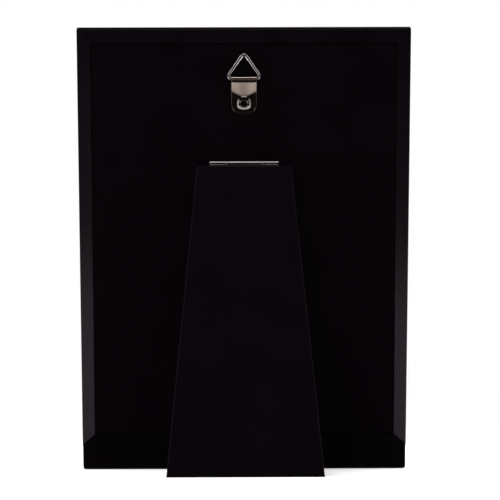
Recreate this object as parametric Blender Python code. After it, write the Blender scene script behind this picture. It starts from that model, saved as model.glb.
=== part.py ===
"""Tabletop photo frame with an easel leg and a hanging ring, modelled piece by piece.

Metres, +Z up, origin on the table under the middle of the standing frame. The picture side faces -Y and the
back faces +Y. Right and left are as seen from the picture side, so the right rail is at +X.

Everything but the leg and the ring is drawn upright in the frame's own axes: x across, y from the front face
towards the back, z up from the bottom edge. The empty named frame_lean then tips it back.
"""

import math

import bmesh
import bpy

# How it stands
LEAN = math.radians(16.0)
LEG_OPENING = math.radians(30.0)

# Frame moulding
REBATE_WIDTH = 0.1510
REBATE_HEIGHT = 0.2010
RIM_WIDTH = 0.0066
LIP_DROP = 0.0136
LIP_CORNER_RADIUS = 0.0014
FRAME_DEPTH = 0.0085
FACE_THICKNESS = 0.0030
SIGHT_OVERLAP = 0.0040
BACK_BEVEL_DEPTH = 0.0026
SIGHT_CHAMFER = 0.0012
FRONT_ARRIS = 0.0005
MITRE_GAP = 0.0002

# Corner nails, hidden in the mitres
NAIL_INSET = 0.0032
NAIL_LEG = 0.0040
NAIL_THICKNESS = 0.0005
NAIL_START = 0.0020
NAIL_HEIGHT = 0.0040
NAIL_CLEARANCE = 0.00015

# Layers in the rebate, from the front
EDGE_GAP = 0.0003
LAYER_GAP = 0.0001
GLASS_THICKNESS = 0.0016
PHOTO_THICKNESS = 0.0003
FILLER_THICKNESS = 0.0008
PANEL_THICKNESS = 0.0020

# Easel hinge: rolled sheet leaves on one pin
HINGE_BELOW_STRAP = 0.0244
BARREL_RADIUS = 0.0012
HINGE_SHEET = 0.0005
PANEL_LEAF_WIDTH = 0.0342
LEG_LEAF_WIDTH = 0.0332
LEAF_LENGTH = 0.0140
MIDDLE_KNUCKLE = 0.0166
KNUCKLE_GAP = 0.0002
STOP_EDGE_DROP = 0.00095
STOP_GAP = 0.0001
PIN_CLEARANCE = 0.0001
LEG_ROLL_SWEEP = math.radians(225.0)

# Hinge rivets
RIVET_SHANK_RADIUS = 0.0010
RIVET_HEAD_RADIUS = 0.0020
RIVET_HEAD_HEIGHT = 0.0005
RIVET_HOLE_CLEARANCE = 0.0001
RIVET_SINK_RADIUS = 0.0023
RIVET_SINK_DEPTH = 0.0007
RIVET_DROP = 0.0092
PANEL_RIVET_SPACING = 0.0240
LEG_RIVET_SPACING = 0.0120

# Easel leg
LEG_BOARD_THICKNESS = 0.0018
LEG_FACING_THICKNESS = 0.0008
LEG_TOP_DROP = 0.0028
LEG_TOP_WIDTH = 0.0472
LEG_SHOULDER_DROP = 0.0130
LEG_SHOULDER_WIDTH = 0.0483
LEG_FOOT_WIDTH = 0.0760

# Hanger: folded strap, wire ring, eyelet and washer
STRAP_WIDTH = 0.0124
STRAP_SHEET = 0.0005
STRAP_FOLD_GAP = 0.0001
STRAP_LENGTH = 0.0180
STRAP_CORNER_RADIUS = 0.0055
RING_AXIS_DROP = 0.0173
RING_WIRE_RADIUS = 0.0008
RING_WIRE_CLEARANCE = 0.0001
RING_WIDTH = 0.0166
RING_RISE = 0.0129
RING_CORNER_RADIUS = 0.0016
RING_APEX_RADIUS = 0.0013
RING_BUTT_GAP = 0.0003
EYELET_DROP = 0.0123
EYELET_FLANGE_RADIUS = 0.0036
EYELET_FLANGE_HEIGHT = 0.0008
EYELET_BARREL_RADIUS = 0.0021
EYELET_HOLE_RADIUS = 0.0017
EYELET_CLINCH_RADIUS = 0.0031
EYELET_CLINCH_HEIGHT = 0.00035
EYELET_CLEARANCE = 0.0001
WASHER_RADIUS = 0.0038
WASHER_THICKNESS = 0.0003
WASHER_SINK_CLEARANCE = 0.0003

# Cuts run past the faces that they open by this much
OVERRUN = 0.0010
ROUND_STEPS = 40
ROLL_STEPS = 14
WIRE_BEVEL_STEPS = 3
SHARP_ANGLE = math.radians(40.0)

# Worked out from the sizes above
FRAME_WIDTH = REBATE_WIDTH + 2 * RIM_WIDTH
RIM_HEIGHT = REBATE_HEIGHT + 2 * RIM_WIDTH
FRAME_HEIGHT = LIP_DROP + RIM_HEIGHT
HALF_WIDTH = FRAME_WIDTH / 2
OUTER_WALL = FRAME_DEPTH - BACK_BEVEL_DEPTH
BORDER = RIM_WIDTH + SIGHT_OVERLAP
REBATE_BOTTOM = LIP_DROP + RIM_WIDTH
LAYER_BOTTOM = REBATE_BOTTOM + EDGE_GAP
LAYER_TOP = REBATE_BOTTOM + REBATE_HEIGHT - EDGE_GAP
GLASS_FRONT = FACE_THICKNESS + LAYER_GAP
PHOTO_FRONT = GLASS_FRONT + GLASS_THICKNESS + LAYER_GAP
FILLER_FRONT = PHOTO_FRONT + PHOTO_THICKNESS + LAYER_GAP
PANEL_FRONT = FILLER_FRONT + FILLER_THICKNESS + LAYER_GAP
PANEL_BACK = PANEL_FRONT + PANEL_THICKNESS
HINGE_DEPTH = PANEL_BACK + LAYER_GAP + BARREL_RADIUS
ROLL_INNER = BARREL_RADIUS - HINGE_SHEET
PIN_RADIUS = ROLL_INNER - PIN_CLEARANCE
LOOP_INNER = RING_WIRE_RADIUS + RING_WIRE_CLEARANCE
LOOP_OUTER = LOOP_INNER + STRAP_SHEET
LOOP_DEPTH = PANEL_BACK + LAYER_GAP + LOOP_OUTER
STRAP_BACK = PANEL_BACK + LAYER_GAP
STRAP_THICKNESS = 2 * STRAP_SHEET + STRAP_FOLD_GAP
STRAP_FACE = STRAP_BACK + STRAP_THICKNESS
RING_AXIS_HEIGHT = LAYER_TOP - RING_AXIS_DROP
EYELET_HEIGHT = RING_AXIS_HEIGHT - EYELET_DROP
HINGE_HEIGHT = RING_AXIS_HEIGHT - STRAP_LENGTH - HINGE_BELOW_STRAP
BOARD_START = BARREL_RADIUS + LAYER_GAP
FACING_START = BOARD_START + LEG_BOARD_THICKNESS + LAYER_GAP
FACING_END = FACING_START + LEG_FACING_THICKNESS

# The leg stands on the table where the frame's bottom edge does, which sets its length
LEG_SLOPE = LEG_OPENING - LEAN
FRAME_LIFT = FACE_THICKNESS * math.sin(LEAN)
HINGE_ABOVE_TABLE = HINGE_HEIGHT * math.cos(LEAN) - HINGE_DEPTH * math.sin(LEAN) + FRAME_LIFT
HINGE_BEHIND_FRONT = HINGE_HEIGHT * math.sin(LEAN) + HINGE_DEPTH * math.cos(LEAN)


def foot_drop(out):
    """How far down the leg from the pin the table lies, on the plane that is out from the pin's axis."""
    return (HINGE_ABOVE_TABLE + out * math.sin(LEG_SLOPE)) / math.cos(LEG_SLOPE)


FOOT_BEHIND_FRONT = (HINGE_BEHIND_FRONT + FACING_END * math.cos(LEG_SLOPE)
                     + foot_drop(FACING_END) * math.sin(LEG_SLOPE))
ARRIS_BEHIND_FRONT = FRONT_ARRIS * math.sin(LEAN)


def clear_scene():
    """Removes whatever the file holds."""
    for obj in list(bpy.data.objects):
        bpy.data.objects.remove(obj, do_unlink=True)


def add_material(name, color, roughness, metallic=0.0):
    """One Principled material."""
    material = bpy.data.materials.new(name)
    material.use_nodes = True
    shader = material.node_tree.nodes["Principled BSDF"]
    shader.inputs["Base Color"].default_value = (*color, 1.0)
    shader.inputs["Roughness"].default_value = roughness
    shader.inputs["Metallic"].default_value = metallic
    return material


def add_empty(name, location, turn, parent=None):
    """An empty that carries a moving or leaning group, turned about x."""
    empty = bpy.data.objects.new(name, None)
    empty.location = location
    empty.rotation_euler = (turn, 0.0, 0.0)
    empty.parent = parent
    bpy.context.scene.collection.objects.link(empty)
    return empty


def add_object(name, data, parent, material=None, location=(0.0, 0.0, 0.0)):
    """Links mesh or curve data as one named piece."""
    obj = bpy.data.objects.new(name, data)
    obj.location = location
    obj.parent = parent
    bpy.context.scene.collection.objects.link(obj)
    if material:
        data.materials.append(material)
    return obj


def finish_mesh(name, bm, smooth=False):
    """Turns a bmesh into mesh data with its faces pointing out."""
    bmesh.ops.recalc_face_normals(bm, faces=bm.faces)
    mesh = bpy.data.meshes.new(name)
    bm.to_mesh(mesh)
    bm.free()
    if smooth:
        mesh.shade_smooth()
        mesh.set_sharp_from_angle(angle=SHARP_ANGLE)
    return mesh


def loft_into(bm, first_ring, last_ring):
    """Closes two outlines with equal counts of points into one solid."""
    first = [bm.verts.new(point) for point in first_ring]
    last = [bm.verts.new(point) for point in last_ring]
    bm.faces.new(first)
    bm.faces.new(list(reversed(last)))
    for i in range(len(first)):
        j = (i + 1) % len(first)
        bm.faces.new((first[i], last[i], last[j], first[j]))


def prism_across(bm, section, x_low, x_high):
    """A solid with one (y, z) section, running along x."""
    loft_into(bm, [(x_low, y, z) for y, z in section], [(x_high, y, z) for y, z in section])


def prism_through(bm, outline, y_low, y_high):
    """A solid with one (x, z) outline, running along y."""
    loft_into(bm, [(x, y_low, z) for x, z in outline], [(x, y_high, z) for x, z in outline])


def box_into(bm, low, high):
    """A box between two corners."""
    outline = [(low[0], low[2]), (high[0], low[2]), (high[0], high[2]), (low[0], high[2])]
    prism_through(bm, outline, low[1], high[1])


def circle_outline(radius, center_x=0.0, center_z=0.0, steps=ROUND_STEPS):
    """Points round a circle in x and z."""
    points = []
    for i in range(steps):
        angle = 2 * math.pi * i / steps
        points.append((center_x + radius * math.cos(angle), center_z + radius * math.sin(angle)))
    return points


def arc_points(radius, start, end, steps, center=(0.0, 0.0)):
    """Points along an arc, both ends included."""
    points = []
    for i in range(steps + 1):
        angle = start + (end - start) * i / steps
        points.append((center[0] + radius * math.cos(angle), center[1] + radius * math.sin(angle)))
    return points


def turned(name, profile):
    """A solid of revolution about the y axis, from a closed profile of (radius, y); a zero radius is a pole."""
    bm = bmesh.new()
    poles = {j: bm.verts.new((0.0, y, 0.0)) for j, (radius, y) in enumerate(profile) if radius == 0}
    rings = []
    for i in range(ROUND_STEPS):
        angle = 2 * math.pi * i / ROUND_STEPS
        ring = dict(poles)
        for j, (radius, y) in enumerate(profile):
            if j not in poles:
                ring[j] = bm.verts.new((radius * math.cos(angle), y, radius * math.sin(angle)))
        rings.append(ring)
    for i in range(ROUND_STEPS):
        here = rings[i]
        following = rings[(i + 1) % ROUND_STEPS]
        for j in range(len(profile)):
            k = (j + 1) % len(profile)
            if j in poles and k in poles:
                continue
            corners = [here[j], here[k], following[k], following[j]]
            bm.faces.new(list(dict.fromkeys(corners)))
    return finish_mesh(name, bm, smooth=True)


def combine(target, name, bm, operation):
    """Joins a hidden solid to a piece, or cuts it out of the piece."""
    tool = add_object(name, finish_mesh(name, bm), target.parent, None, target.location)
    tool.hide_render = True
    tool.display_type = "WIRE"
    modifier = target.modifiers.new(name, "BOOLEAN")
    modifier.operation = operation
    modifier.object = tool
    modifier.solver = "EXACT"


def cut_away(target, name, bm):
    """Cuts a hidden solid out of a piece."""
    combine(target, name, bm, "DIFFERENCE")


# Mitred rails

def rail_section():
    """The moulding's section as (inward from the outer edge, depth)."""
    return [
        (0.0, FRONT_ARRIS),
        (FRONT_ARRIS, 0.0),
        (BORDER - SIGHT_CHAMFER, 0.0),
        (BORDER, SIGHT_CHAMFER),
        (BORDER, FACE_THICKNESS),
        (RIM_WIDTH, FACE_THICKNESS),
        (RIM_WIDTH, FRAME_DEPTH),
        (0.0, OUTER_WALL),
    ]


def make_upright_rail(name, side, material, parent):
    """A side rail: mitred at both ends, short of its neighbours by the mitre gap."""
    bm = bmesh.new()
    low_ring = []
    high_ring = []
    for inward, depth in rail_section():
        x = side * (HALF_WIDTH - inward)
        low_ring.append((x, depth, LIP_DROP + inward + MITRE_GAP))
        high_ring.append((x, depth, FRAME_HEIGHT - inward - MITRE_GAP))
    loft_into(bm, low_ring, high_ring)
    return add_object(name, finish_mesh(name, bm), parent, material)


def make_top_rail(material, parent):
    """The top rail, mitred at both ends."""
    bm = bmesh.new()
    left_ring = []
    right_ring = []
    for inward, depth in rail_section():
        z = FRAME_HEIGHT - inward
        left_ring.append((-HALF_WIDTH + inward, depth, z))
        right_ring.append((HALF_WIDTH - inward, depth, z))
    loft_into(bm, left_ring, right_ring)
    return add_object("top_rail", finish_mesh("top_rail", bm), parent, material)


def make_bottom_rail(material, parent):
    """The bottom rail: mitred like the top one, with a thin lip that drops below the rim to the table."""
    bm = bmesh.new()
    mitred = rail_section()[2:]
    lip_corner = (0.0, FACE_THICKNESS)
    lip = [(-LIP_DROP, FACE_THICKNESS), (-LIP_DROP, FRONT_ARRIS), (FRONT_ARRIS - LIP_DROP, 0.0)]
    edge = (0.0, 0.0)
    rings = []
    for side in (-1, 1):
        ring = {}
        for inward, depth in mitred + [lip_corner] + lip + [edge]:
            x = side * (HALF_WIDTH - max(inward, 0.0))
            ring[(inward, depth)] = bm.verts.new((x, depth, LIP_DROP + inward))
        rings.append(ring)
        bm.faces.new([ring[key] for key in [edge] + mitred + [lip_corner]])
        bm.faces.new([ring[key] for key in [edge, lip_corner] + lip])
    around = [edge] + mitred + [lip_corner] + lip
    for here, following in zip(around, around[1:] + around[:1]):
        bm.faces.new((rings[0][here], rings[1][here], rings[1][following], rings[0][following]))
    rail = add_object("bottom_rail", finish_mesh("bottom_rail", bm), parent, material)
    corners = bmesh.new()
    radius = LIP_CORNER_RADIUS
    past = HALF_WIDTH + OVERRUN
    arc = arc_points(radius, 0.0, -math.pi / 2, ROLL_STEPS, (HALF_WIDTH - radius, radius))
    outline = [(past, -OVERRUN), (past, radius)] + arc + [(HALF_WIDTH - radius, -OVERRUN)]
    for side in (-1, 1):
        prism_through(corners, [(side * x, z) for x, z in outline], -OVERRUN, FACE_THICKNESS + OVERRUN)
    cut_away(rail, "cut_lip_corners", corners)
    return rail


def nail_outline(side, upper, grow):
    """An angle nail's outline in x and z at one corner, grown all round by a clearance."""
    half = NAIL_THICKNESS / 2 + grow
    reach = NAIL_LEG + grow
    corner_z = FRAME_HEIGHT - NAIL_INSET if upper else LIP_DROP + NAIL_INSET
    down = -1 if upper else 1
    unit = [(half, -half), (half, reach), (-half, reach), (-half, half), (-reach, half), (-reach, -half)]
    return [(side * (HALF_WIDTH - NAIL_INSET + u), corner_z + down * v) for u, v in unit]


def each_corner():
    """The four corners as (side, upper)."""
    return [(side, upper) for side in (-1, 1) for upper in (False, True)]


def make_corner_nails(material, parent):
    """Four angle nails, each with a leg along both rails that meet at its corner."""
    for side, upper in each_corner():
        name = "corner_nail_" + ("top_" if upper else "bottom_") + ("right" if side > 0 else "left")
        bm = bmesh.new()
        prism_through(bm, nail_outline(side, upper, 0.0), NAIL_START, NAIL_START + NAIL_HEIGHT)
        add_object(name, finish_mesh(name, bm), parent, material)


def cut_nail_slots(rails):
    """The slots that the nails were driven into."""
    for name, rail, corners in rails:
        bm = bmesh.new()
        for side, upper in corners:
            prism_through(bm, nail_outline(side, upper, NAIL_CLEARANCE), NAIL_START - NAIL_CLEARANCE,
                          NAIL_START + NAIL_HEIGHT + NAIL_CLEARANCE)
        cut_away(rail, "cut_" + name, bm)


# Layers in the rebate

def make_layer(name, depth, thickness, material, parent):
    """One sheet that fills the rebate."""
    bm = bmesh.new()
    half = REBATE_WIDTH / 2 - EDGE_GAP
    box_into(bm, (-half, depth, LAYER_BOTTOM), (half, depth + thickness, LAYER_TOP))
    return add_object(name, finish_mesh(name, bm), parent, material)


def cut_panel_holes(panel):
    """Holes for the eyelet and the hinge rivets, sunk on the side that faces the picture."""
    eyelet_hole = EYELET_BARREL_RADIUS + EYELET_CLEARANCE
    sink_radius = WASHER_RADIUS + WASHER_SINK_CLEARANCE
    sink_depth = EYELET_CLINCH_HEIGHT + WASHER_THICKNESS + 3 * LAYER_GAP
    rivet_hole = RIVET_SHANK_RADIUS + RIVET_HOLE_CLEARANCE
    holes = [(0.0, EYELET_HEIGHT, eyelet_hole, sink_radius, sink_depth)]
    for side in (-1, 1):
        x = side * PANEL_RIVET_SPACING / 2
        holes.append((x, HINGE_HEIGHT - RIVET_DROP, rivet_hole, RIVET_SINK_RADIUS, RIVET_SINK_DEPTH))
    through = bmesh.new()
    sunk = bmesh.new()
    for x, z, radius, wide, deep in holes:
        prism_through(through, circle_outline(radius, x, z), PANEL_FRONT - OVERRUN, PANEL_BACK + OVERRUN)
        prism_through(sunk, circle_outline(wide, x, z), PANEL_FRONT - OVERRUN, PANEL_FRONT + deep)
    cut_away(panel, "cut_panel_holes", through)
    cut_away(panel, "cut_panel_sinks", sunk)


# Hinge

def rolled_section(sweep, side):
    """A leaf rolled round the pin, as (y, z) from the pin: side -1 lies on the panel, side 1 on the leg."""
    start = math.pi if side < 0 else 0.0
    end = start + side * sweep
    outer = arc_points(BARREL_RADIUS, start, end, ROLL_STEPS)
    inner = arc_points(ROLL_INNER, end, start, ROLL_STEPS)
    return ([(side * BARREL_RADIUS, -LEAF_LENGTH)] + outer + inner + [(side * ROLL_INNER, -LEAF_LENGTH)])


def stop_sweep():
    """The panel leaf's roll ends where the leg leaf's edge meets it with the leg open."""
    edge_angle = math.atan2(STOP_EDGE_DROP, ROLL_INNER)
    return math.pi + edge_angle - LEG_OPENING - STOP_GAP / BARREL_RADIUS


def make_leaf(name, side, sweep, width, hole_spacing, material, parent, location):
    """One hinge leaf with its knuckles notched clear of the other leaf's, and its rivet holes."""
    bm = bmesh.new()
    prism_across(bm, rolled_section(sweep, side), -width / 2, width / 2)
    leaf = add_object(name, finish_mesh(name, bm, smooth=True), parent, material, location)
    notch = bmesh.new()
    reach = BARREL_RADIUS + OVERRUN
    if side < 0:
        half = MIDDLE_KNUCKLE / 2 + KNUCKLE_GAP
        box_into(notch, (-half, -reach, -BARREL_RADIUS - KNUCKLE_GAP), (half, reach, reach))
    else:
        half = MIDDLE_KNUCKLE / 2
        for end in (-1, 1):
            near = end * half
            far = end * (width / 2 + OVERRUN)
            box_into(notch, (min(near, far), -reach, -STOP_EDGE_DROP), (max(near, far), reach, reach))
    cut_away(leaf, "cut_" + name + "_notch", notch)
    holes = bmesh.new()
    for end in (-1, 1):
        outline = circle_outline(RIVET_SHANK_RADIUS + RIVET_HOLE_CLEARANCE, end * hole_spacing / 2, -RIVET_DROP)
        prism_through(holes, outline, -reach, reach)
    cut_away(leaf, "cut_" + name + "_holes", holes)
    return leaf


def make_pin(material, parent, location):
    """The hinge pin."""
    bm = bmesh.new()
    prism_across(bm, circle_outline(PIN_RADIUS), -PANEL_LEAF_WIDTH / 2, PANEL_LEAF_WIDTH / 2)
    return add_object("hinge_pin", finish_mesh("hinge_pin", bm, smooth=True), parent, material, location)


def rivet_profile(head_face, outward, sink_floor):
    """A rivet's (radius, y): its head's underside, which way its head stands, and the sink's floor."""
    crown_step = RIVET_HEAD_HEIGHT / 2
    tail = RIVET_SINK_DEPTH - 2 * LAYER_GAP
    head_top = head_face + outward * RIVET_HEAD_HEIGHT
    tail_face = sink_floor - outward * LAYER_GAP
    crown_radius = RIVET_HEAD_RADIUS - crown_step
    return [
        (0.0, head_top),
        (crown_radius, head_top),
        (RIVET_HEAD_RADIUS, head_top - outward * crown_step),
        (RIVET_HEAD_RADIUS, head_face),
        (RIVET_SHANK_RADIUS, head_face),
        (RIVET_SHANK_RADIUS, tail_face),
        (crown_radius, tail_face),
        (crown_radius, tail_face - outward * tail),
        (0.0, tail_face - outward * tail),
    ]


def make_rivets(name, spacing, profile, material, parent, height):
    """A pair of rivets, one each side of the middle, that share one mesh."""
    mesh = turned(name, profile)
    mesh.materials.append(material)
    for end, side_name in ((-1, "left"), (1, "right")):
        add_object(name + "_" + side_name, mesh, parent, None, (end * spacing / 2, 0.0, height))


# Easel leg, drawn hanging straight down from the pin: y out from the pin's axis, z down the leg

def leg_outline(out):
    """The leg's outline in x and z on the plane that is out from the pin's axis."""
    side = [
        (LEG_TOP_WIDTH / 2, -LEG_TOP_DROP),
        (LEG_SHOULDER_WIDTH / 2, -LEG_SHOULDER_DROP),
        (LEG_FOOT_WIDTH / 2, -foot_drop(out)),
    ]
    return side + [(-x, z) for x, z in reversed(side)]


def make_leg_plate(name, start, thickness, material, parent):
    """One layer of the leg, its foot cut to stand flat on the table."""
    bm = bmesh.new()
    end = start + thickness
    loft_into(bm, [(x, start, z) for x, z in leg_outline(start)], [(x, end, z) for x, z in leg_outline(end)])
    return add_object(name, finish_mesh(name, bm), parent, material)


def cut_leg_holes(board):
    """Holes for the leg rivets, sunk under the facing."""
    through = bmesh.new()
    sunk = bmesh.new()
    board_end = BOARD_START + LEG_BOARD_THICKNESS
    for end in (-1, 1):
        x = end * LEG_RIVET_SPACING / 2
        hole = circle_outline(RIVET_SHANK_RADIUS + RIVET_HOLE_CLEARANCE, x, -RIVET_DROP)
        prism_through(through, hole, BOARD_START - OVERRUN, board_end + OVERRUN)
        prism_through(sunk, circle_outline(RIVET_SINK_RADIUS, x, -RIVET_DROP), board_end - RIVET_SINK_DEPTH,
                      board_end + OVERRUN)
    cut_away(board, "cut_leg_holes", through)
    cut_away(board, "cut_leg_sinks", sunk)


# Hanger

def strap_outline():
    """The strap's flat, with rounded lower corners and its top edge on the loop's axis, in x and z."""
    half = STRAP_WIDTH / 2
    bottom = RING_AXIS_HEIGHT - STRAP_LENGTH
    radius = min(STRAP_CORNER_RADIUS, half)
    center_z = bottom + radius
    right = arc_points(radius, -math.pi / 2, 0.0, ROLL_STEPS, (half - radius, center_z))
    left = arc_points(radius, -math.pi, -math.pi / 2, ROLL_STEPS, (radius - half, center_z))
    return left + right + [(half, RING_AXIS_HEIGHT), (-half, RING_AXIS_HEIGHT)]


def make_strap(material, parent):
    """The strap: one strip folded round the ring's wire, its two layers lying on each other."""
    bm = bmesh.new()
    prism_through(bm, strap_outline(), STRAP_BACK, STRAP_FACE)
    strap = add_object("hanger_strap", finish_mesh("hanger_strap", bm), parent, material)
    half = STRAP_WIDTH / 2
    loop = bmesh.new()
    loop_circle = [(LOOP_DEPTH + u, RING_AXIS_HEIGHT + v) for u, v in circle_outline(LOOP_OUTER)]
    prism_across(loop, loop_circle, -half, half)
    combine(strap, "join_strap_loop", loop, "UNION")
    bore = bmesh.new()
    bore_circle = [(LOOP_DEPTH + u, RING_AXIS_HEIGHT + v) for u, v in circle_outline(LOOP_INNER)]
    prism_across(bore, bore_circle, -half - OVERRUN, half + OVERRUN)
    cut_away(strap, "cut_strap_bore", bore)
    slit = bmesh.new()
    slit_front = STRAP_BACK + STRAP_SHEET
    box_into(slit, (-half - OVERRUN, slit_front, RING_AXIS_HEIGHT - STRAP_LENGTH - OVERRUN),
             (half + OVERRUN, slit_front + STRAP_FOLD_GAP, RING_AXIS_HEIGHT))
    cut_away(strap, "cut_strap_slit", slit)
    hole = bmesh.new()
    prism_through(hole, circle_outline(EYELET_BARREL_RADIUS + EYELET_CLEARANCE, 0.0, EYELET_HEIGHT),
                  STRAP_BACK - OVERRUN, STRAP_FACE + OVERRUN)
    cut_away(strap, "cut_strap_hole", hole)
    return strap


def make_eyelet(material, parent):
    """The hollow rivet: a rolled flange on the strap, a barrel through the panel and a clinched end."""
    flange_back = STRAP_FACE + LAYER_GAP
    clinch_front = PANEL_FRONT + LAYER_GAP
    dome_half = (EYELET_FLANGE_RADIUS - EYELET_HOLE_RADIUS) / 2
    dome_center = EYELET_HOLE_RADIUS + dome_half
    dome = []
    for i in range(ROLL_STEPS + 1):
        angle = math.pi * (1 - i / ROLL_STEPS)
        radius = dome_center + dome_half * math.cos(angle)
        dome.append((radius, flange_back + EYELET_FLANGE_HEIGHT * math.sin(angle)))
    profile = dome + [
        (EYELET_BARREL_RADIUS, flange_back),
        (EYELET_BARREL_RADIUS, clinch_front + EYELET_CLINCH_HEIGHT),
        (EYELET_CLINCH_RADIUS, clinch_front + EYELET_CLINCH_HEIGHT),
        (EYELET_CLINCH_RADIUS, clinch_front),
        (EYELET_HOLE_RADIUS, clinch_front),
    ]
    mesh = turned("hanger_eyelet", profile)
    return add_object("hanger_eyelet", mesh, parent, material, (0.0, 0.0, EYELET_HEIGHT))


def make_washer(material, parent):
    """The washer under the eyelet's clinched end, in the panel's sink."""
    inner = EYELET_BARREL_RADIUS + EYELET_CLEARANCE
    front = PANEL_FRONT + EYELET_CLINCH_HEIGHT + 2 * LAYER_GAP
    back = front + WASHER_THICKNESS
    profile = [(inner, front), (WASHER_RADIUS, front), (WASHER_RADIUS, back), (inner, back)]
    mesh = turned("hanger_washer", profile)
    return add_object("hanger_washer", mesh, parent, material, (0.0, 0.0, EYELET_HEIGHT))


def ring_path():
    """The wire's centre line in x and z from the loop's axis: a rounded triangle, open where its ends butt."""
    corner = RING_CORNER_RADIUS
    apex = RING_APEX_RADIUS
    corner_x = RING_WIDTH / 2 - RING_WIRE_RADIUS - corner
    apex_z = RING_RISE - RING_WIRE_RADIUS - apex
    rise = apex_z - corner
    tilt = math.atan2(corner_x, rise) + math.asin((apex - corner) / math.hypot(corner_x, rise))
    points = [(RING_BUTT_GAP / 2, 0.0)]
    points += arc_points(corner, -math.pi / 2, tilt, ROLL_STEPS, (corner_x, corner))
    points += arc_points(apex, tilt, math.pi - tilt, ROLL_STEPS, (0.0, apex_z))
    points += arc_points(corner, math.pi - tilt, 3 * math.pi / 2, ROLL_STEPS, (-corner_x, corner))
    points.append((-RING_BUTT_GAP / 2, 0.0))
    return points


def make_ring(material, parent):
    """The triangular wire ring."""
    curve = bpy.data.curves.new("hanger_ring", "CURVE")
    curve.dimensions = "3D"
    curve.bevel_depth = RING_WIRE_RADIUS
    curve.bevel_resolution = WIRE_BEVEL_STEPS
    curve.use_fill_caps = True
    points = ring_path()
    spline = curve.splines.new("POLY")
    spline.points.add(len(points) - 1)
    for point, (x, z) in zip(spline.points, points):
        point.co = (x, 0.0, z, 1.0)
    return add_object("hanger_ring", curve, parent, material)


def build():
    """Builds the whole frame."""
    clear_scene()
    wrap = add_material("black_wrap_paper", (0.003, 0.002, 0.003), 0.35)
    glass = add_material("clear_glass", (0.90, 0.94, 0.93), 0.05)
    photo = add_material("photo_paper", (0.75, 0.75, 0.73), 0.40)
    card = add_material("black_card", (0.009, 0.007, 0.007), 0.85)
    nickel = add_material("nickel_plated_steel", (0.60, 0.56, 0.52), 0.25, 1.0)
    steel = add_material("bare_steel", (0.45, 0.45, 0.46), 0.35, 1.0)

    middle = (ARRIS_BEHIND_FRONT + FOOT_BEHIND_FRONT) / 2
    frame = add_empty("frame_lean", (0.0, -middle, FRAME_LIFT), -LEAN)
    pin_place = (0.0, HINGE_DEPTH, HINGE_HEIGHT)
    leg = add_empty("leg_pivot", pin_place, LEG_OPENING, frame)
    ring = add_empty("ring_pivot", (0.0, LOOP_DEPTH, RING_AXIS_HEIGHT), 0.0, frame)

    right = make_upright_rail("right_rail", 1, wrap, frame)
    left = make_upright_rail("left_rail", -1, wrap, frame)
    top = make_top_rail(wrap, frame)
    bottom = make_bottom_rail(wrap, frame)
    cut_nail_slots([
        ("right_slots", right, [(1, False), (1, True)]),
        ("left_slots", left, [(-1, False), (-1, True)]),
        ("top_slots", top, [(-1, True), (1, True)]),
        ("bottom_slots", bottom, [(-1, False), (1, False)]),
    ])
    make_corner_nails(steel, frame)

    make_layer("glass_pane", GLASS_FRONT, GLASS_THICKNESS, glass, frame)
    make_layer("photo_sheet", PHOTO_FRONT, PHOTO_THICKNESS, photo, frame)
    make_layer("filler_card", FILLER_FRONT, FILLER_THICKNESS, card, frame)
    panel = make_layer("back_panel", PANEL_FRONT, PANEL_THICKNESS, wrap, frame)
    cut_panel_holes(panel)

    make_leaf("hinge_panel_leaf", -1, stop_sweep(), PANEL_LEAF_WIDTH, PANEL_RIVET_SPACING, nickel,
              frame, pin_place)
    make_leaf("hinge_leg_leaf", 1, LEG_ROLL_SWEEP, LEG_LEAF_WIDTH, LEG_RIVET_SPACING, nickel,
              leg, (0.0, 0.0, 0.0))
    make_pin(steel, frame, pin_place)
    leaf_face = HINGE_DEPTH - ROLL_INNER + LAYER_GAP
    panel_rivet = rivet_profile(leaf_face, 1, PANEL_FRONT + RIVET_SINK_DEPTH)
    make_rivets("panel_rivet", PANEL_RIVET_SPACING, panel_rivet, nickel, frame, HINGE_HEIGHT - RIVET_DROP)
    board_sink = BOARD_START + LEG_BOARD_THICKNESS - RIVET_SINK_DEPTH
    leg_rivet = rivet_profile(ROLL_INNER - LAYER_GAP, -1, board_sink)
    make_rivets("leg_rivet", LEG_RIVET_SPACING, leg_rivet, nickel, leg, -RIVET_DROP)

    board = make_leg_plate("leg_board", BOARD_START, LEG_BOARD_THICKNESS, wrap, leg)
    cut_leg_holes(board)
    make_leg_plate("leg_facing", FACING_START, LEG_FACING_THICKNESS, wrap, leg)

    make_strap(nickel, frame)
    make_eyelet(nickel, frame)
    make_washer(steel, frame)
    make_ring(nickel, ring)


build()
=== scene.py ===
"""Looks for the tabletop photo frame: its back, easel leg, hinge and hanger, as a studio shows them.

Lengths are metres. Shapes are worked out in the frame's own upright axes (x across, y from the front face to
the back, z up from the bottom edge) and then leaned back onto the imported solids. The leg and the ring are
worked out from their own hinge lines.
"""
import math

import bmesh
import bpy
import numpy as np
from mathutils import Matrix, Vector


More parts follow.
